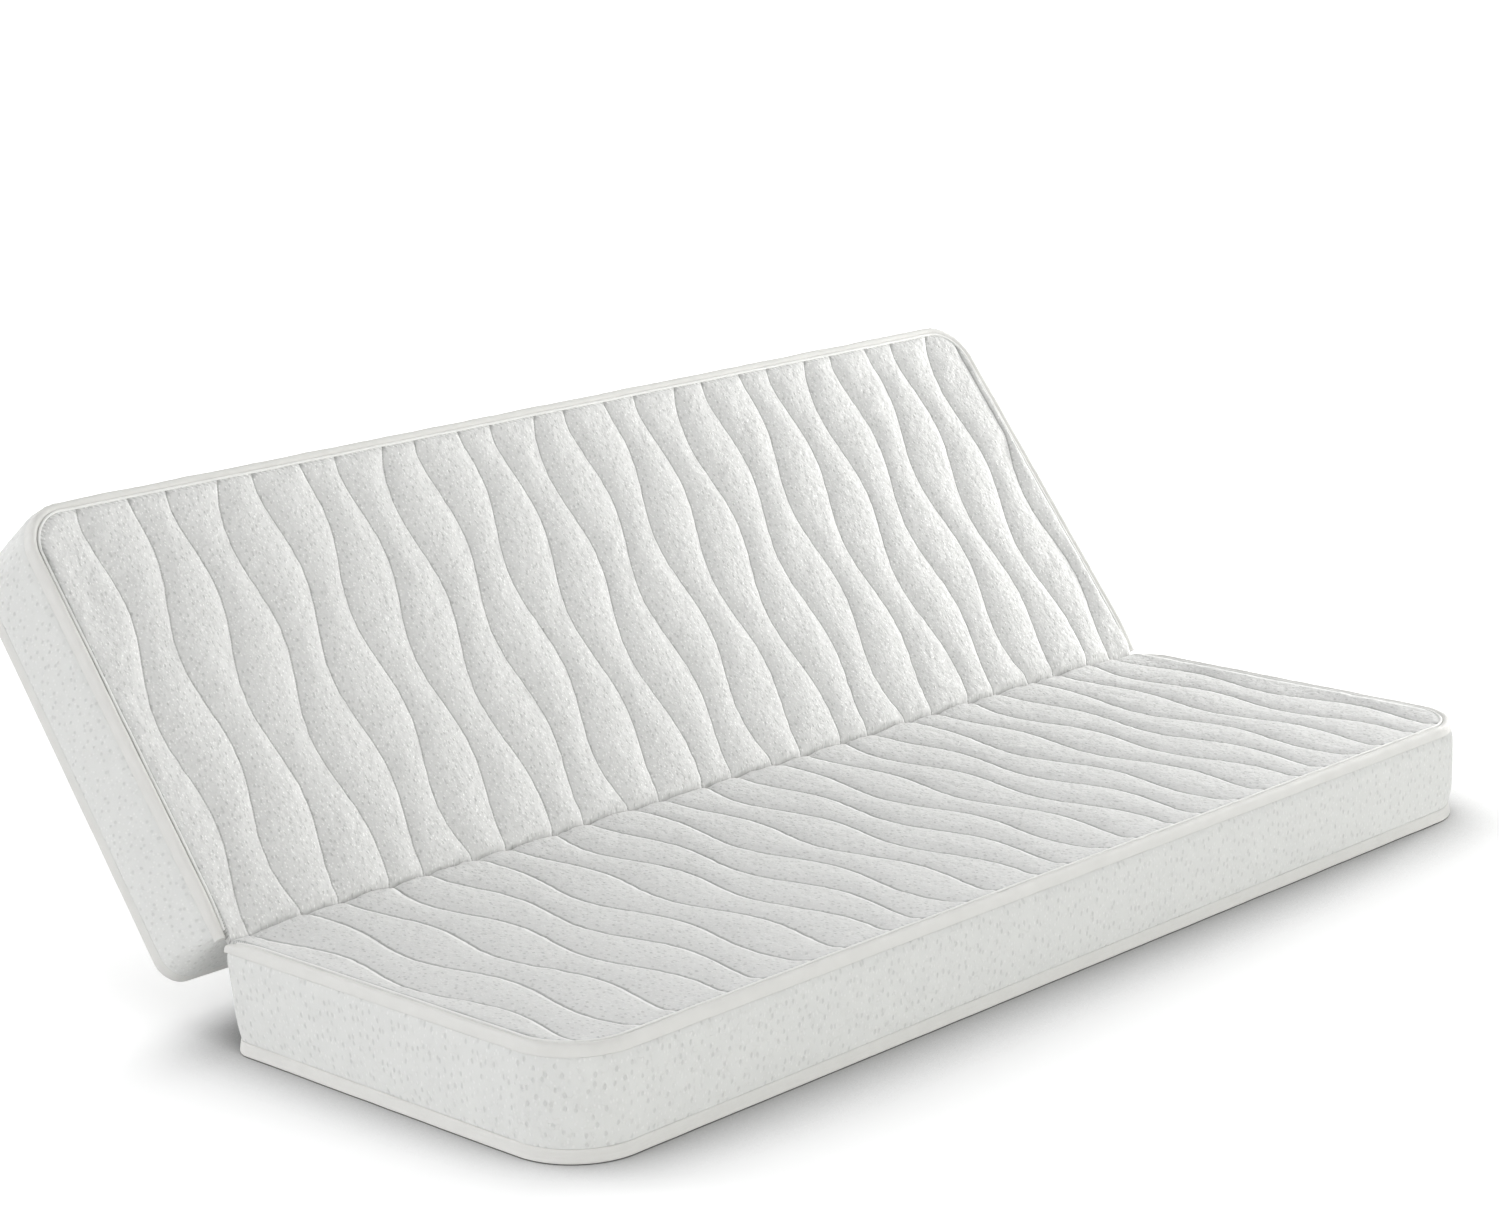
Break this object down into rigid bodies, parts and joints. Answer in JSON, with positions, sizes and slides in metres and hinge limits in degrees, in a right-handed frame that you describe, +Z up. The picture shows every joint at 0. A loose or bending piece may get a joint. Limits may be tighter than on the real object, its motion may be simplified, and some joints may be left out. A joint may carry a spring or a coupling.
{
  "type": "sofa bed mattress",
  "caption": "Folding foam mattress for a sofa bed: two padded sections with wave quilting, joined by a sewn fold, the back section raised as a backrest.",
  "frame": {"origin": "middle of the seat section's underside, half way from the fold line to the front edge", "axes": "+X along the fold, to the right for someone facing the mattress from its front; +Y from the front edge to the fold; +Z up"},
  "size_m": [1.9, 1.1489, 0.6465],
  "materials": {
    "quilted_knit": "off-white stretch knit over wadding, sewn in wavy channels",
    "border_knit": "off-white plain stretch knit",
    "edge_tape": "pale cream rolled edge tape",
    "piping": "pale corded piping",
    "underside_cloth": "plain non-slip underside cloth",
    "felt": "pressed felt",
    "core_foam": "firm polyurethane foam",
    "comfort_foam": "soft polyurethane foam",
    "fold_cloth": "knit, folded and sewn"
  },
  "bodies": {
    "seat_section": {"seat_quilted_top": "quilted_knit", "seat_top_edge_tape": "edge_tape", "seat_piping_cord": "piping", "seat_border_band": "border_knit", "seat_bottom_edge_tape": "edge_tape", "seat_bottom_panel": "underside_cloth", "seat_felt_layer": "felt", "seat_foam_core": "core_foam", "seat_comfort_foam": "comfort_foam", "fold_hinge_strip": "fold_cloth"},
    "back_section": {"back_quilted_top": "quilted_knit", "back_top_edge_tape": "edge_tape", "back_piping_cord": "piping", "back_border_band": "border_knit", "back_bottom_edge_tape": "edge_tape", "back_bottom_panel": "underside_cloth", "back_felt_layer": "felt", "back_foam_core": "core_foam", "back_comfort_foam": "comfort_foam"}
  },
  "joints": [
    {"name": "fold", "type": "hinge", "parent": "seat_section", "child": "back_section", "pos_m": [0, 0.32, 0.149], "axis": [1, 0, 0], "range_deg": [-52, 128]}
  ]
}
